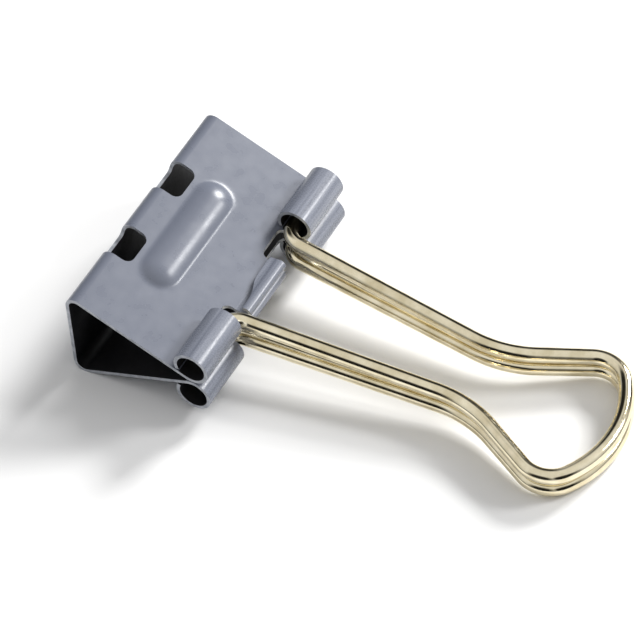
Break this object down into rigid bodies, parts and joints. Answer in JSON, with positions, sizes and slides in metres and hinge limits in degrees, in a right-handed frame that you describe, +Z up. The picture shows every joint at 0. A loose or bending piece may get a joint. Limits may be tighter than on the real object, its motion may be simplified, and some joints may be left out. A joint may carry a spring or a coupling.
{
  "type": "binder clip",
  "caption": "Sprung steel paper clip: a folded triangular body with rolled lips and wire handles that fold forward over the mouth or back over the body.",
  "frame": {"origin": "centre of the spine's outer face, on the mid-plane between the jaws", "axes": "+X from the spine through the mouth to the handle tips, +Y along the folds, +Z up through the upper jaw"},
  "size_m": [0.0376, 0.019, 0.0076],
  "materials": {
    "painted_steel": "satin blue-grey paint on spring steel",
    "plated_wire": "bright warm nickel plating"
  },
  "bodies": {
    "spine": {"spine": "painted_steel"},
    "upper_jaw": {"upper_jaw": "painted_steel"},
    "lower_jaw": {"lower_jaw": "painted_steel"},
    "upper_handle": {"upper_handle": "plated_wire"},
    "lower_handle": {"lower_handle": "plated_wire"}
  },
  "joints": [
    {"name": "upper_jaw_open", "type": "hinge", "parent": "spine", "child": "upper_jaw", "pos_m": [0.00114, 0, 0.00372], "axis": [0, -1, 0], "range_deg": [0, 28], "stiffness_Nm_per_rad": 0.2},
    {"name": "lower_jaw_open", "type": "hinge", "parent": "spine", "child": "lower_jaw", "pos_m": [0.00114, 0, -0.00372], "axis": [0, 1, 0], "range_deg": [0, 28], "stiffness_Nm_per_rad": 0.2},
    {"name": "upper_handle_fold", "type": "hinge", "parent": "upper_jaw", "child": "upper_handle", "pos_m": [0.00955, 0, 0.00093], "axis": [0, -1, 0], "range_deg": [0, 156]},
    {"name": "lower_handle_fold", "type": "hinge", "parent": "lower_jaw", "child": "lower_handle", "pos_m": [0.00955, 0, -0.00093], "axis": [0, 1, 0], "range_deg": [0, 149.5]}
  ],
  "couplings": [
    {"joint": "lower_jaw_open", "follows": "upper_jaw_open", "ratio": 1}
  ]
}
